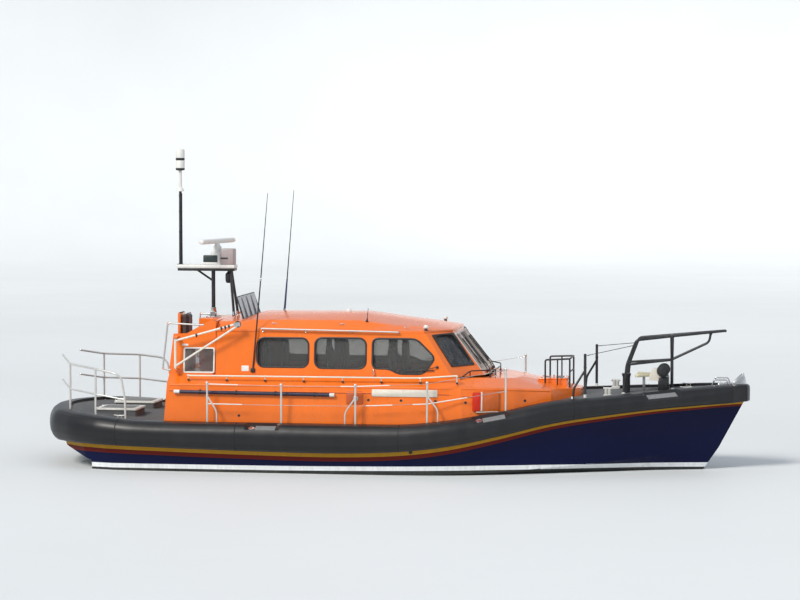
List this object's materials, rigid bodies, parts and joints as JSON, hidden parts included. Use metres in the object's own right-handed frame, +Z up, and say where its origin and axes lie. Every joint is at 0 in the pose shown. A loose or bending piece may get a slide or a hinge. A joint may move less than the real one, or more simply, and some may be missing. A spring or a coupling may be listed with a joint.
{
  "type": "lifeboat",
  "caption": "All-weather lifeboat: belted navy hull, orange wheelhouse, folding mast, swing-out derrick, hinged hatches and door, rails, and waterjets with steering nozzles and reverse buckets.",
  "frame": {"origin": "on the centre line, amidships, at the still waterline", "axes": "+X to the bow, +Y to port, +Z up"},
  "size_m": [13.58, 4.535, 7.06],
  "materials": {
    "hull_gelcoat": "gloss navy gelcoat",
    "orange_gelcoat": "gloss orange gelcoat",
    "white_gelcoat": "satin white gelcoat",
    "belting": "matt black covering over foam",
    "deck_grip": "matt grey with a non-slip grain",
    "seat_cover": "dark upholstery",
    "jet_metal": "cast, dull",
    "black_paint": "satin black powder coat",
    "white_tube": "satin off-white on tube",
    "steel": "polished stainless",
    "anchor_paint": "dull galvanised, cream",
    "glass": "grey tinted"
  },
  "bodies": {
    "boat": {"hull": "hull_gelcoat", "keel": "hull_gelcoat", "bilge_keel_starboard": "hull_gelcoat", "bilge_keel_port": "hull_gelcoat", "belting_starboard": "belting", "belting_port": "belting", "belting_stern": "belting", "belting_bow": "belting", "deck": "deck_grip", "deckhouse_starboard": "orange_gelcoat", "deckhouse_port": "orange_gelcoat", "fore_trunk": "orange_gelcoat", "wheelhouse_walls": "orange_gelcoat", "roof": "orange_gelcoat", "upper_moulding": "orange_gelcoat", "quarter_window_starboard": "glass", "quarter_window_port": "glass", "windscreen": "glass", "side_glazing_starboard": "glass", "side_glazing_port": "glass", "wing_window_starboard": "glass", "wing_window_port": "glass", "wind_screen": "glass", "helm_desk": "seat_cover", "cabin_seats": "seat_cover", "upper_seat_starboard": "seat_cover", "upper_seat_port": "seat_cover", "jet_housing_starboard": "jet_metal", "jet_housing_port": "jet_metal", "mast_foot": "steel", "whip_starboard": "black_paint", "whip_port": "black_paint", "stern_rail_starboard": "white_tube", "stern_rail_port": "white_tube", "side_rail_starboard": "white_tube", "side_rail_port": "white_tube", "gate_post_starboard": "black_paint", "gate_post_port": "black_paint", "bow_frame": "black_paint", "roof_rail_starboard": "steel", "roof_rail_port": "steel", "ledge_rail_starboard": "steel", "ledge_rail_port": "steel", "fore_guard_rail": "black_paint", "windlass": "black_paint", "anchor": "anchor_paint", "capstan": "black_paint", "bow_fairlead": "steel"},
    "jet_nozzle_starboard": {"jet_nozzle_starboard": "jet_metal"},
    "jet_nozzle_port": {"jet_nozzle_port": "jet_metal"},
    "jet_bucket_starboard": {"jet_bucket_starboard": "jet_metal"},
    "jet_bucket_port": {"jet_bucket_port": "jet_metal"},
    "mast": {"mast": "black_paint"},
    "radar": {"radar_scanner": "white_gelcoat"},
    "derrick": {"derrick": "white_tube"},
    "aft_door": {"aft_door": "white_gelcoat", "door_glass": "glass"},
    "fore_hatch": {"fore_hatch_lid": "orange_gelcoat"},
    "aft_hatch_starboard": {"aft_hatch_starboard": "white_gelcoat"},
    "aft_hatch_port": {"aft_hatch_port": "white_gelcoat"}
  },
  "joints": [
    {"name": "jet_steer_starboard", "type": "hinge", "parent": "boat", "child": "jet_nozzle_starboard", "pos_m": [-6, -0.43, -0.24], "axis": [0, 0, 1], "range_deg": [-27, 27]},
    {"name": "jet_steer_port", "type": "hinge", "parent": "boat", "child": "jet_nozzle_port", "pos_m": [-6, 0.43, -0.24], "axis": [0, 0, 1], "range_deg": [-27, 27]},
    {"name": "bucket_starboard", "type": "hinge", "parent": "boat", "child": "jet_bucket_starboard", "pos_m": [-6.04, -0.43, -0.27], "axis": [0, -1, 0], "range_deg": [0, 65]},
    {"name": "bucket_port", "type": "hinge", "parent": "boat", "child": "jet_bucket_port", "pos_m": [-6.04, 0.43, -0.27], "axis": [0, -1, 0], "range_deg": [0, 65]},
    {"name": "mast_fold", "type": "hinge", "parent": "boat", "child": "mast", "pos_m": [-3.57, 0, 2.87], "axis": [0, -1, 0], "range_deg": [0, 75]},
    {"name": "radar_spin", "type": "hinge", "parent": "mast", "child": "radar", "pos_m": [-3.49, 0, 4.22], "axis": [0, 0, 1], "continuous": true},
    {"name": "derrick_swing", "type": "hinge", "parent": "boat", "child": "derrick", "pos_m": [-3.95, -1.62, 2.2], "axis": [0, 0, 1], "range_deg": [-100, 0]},
    {"name": "aft_door_swing", "type": "hinge", "parent": "boat", "child": "aft_door", "pos_m": [-3.769, 0.36, 1.85], "axis": [0, 0, -1], "range_deg": [0, 100]},
    {"name": "fore_hatch_open", "type": "hinge", "parent": "boat", "child": "fore_hatch", "pos_m": [3.355, 0, 1.69], "axis": [0, 1, 0], "range_deg": [0, 80]},
    {"name": "aft_hatch_starboard_open", "type": "hinge", "parent": "boat", "child": "aft_hatch_starboard", "pos_m": [-4.83, -0.73, 1.06], "axis": [0, 1, 0], "range_deg": [0, 85]},
    {"name": "aft_hatch_port_open", "type": "hinge", "parent": "boat", "child": "aft_hatch_port", "pos_m": [-4.83, 0.73, 1.06], "axis": [0, 1, 0], "range_deg": [0, 85]}
  ],
  "couplings": [
    {"joint": "jet_steer_port", "follows": "jet_steer_starboard", "ratio": 1}
  ]
}
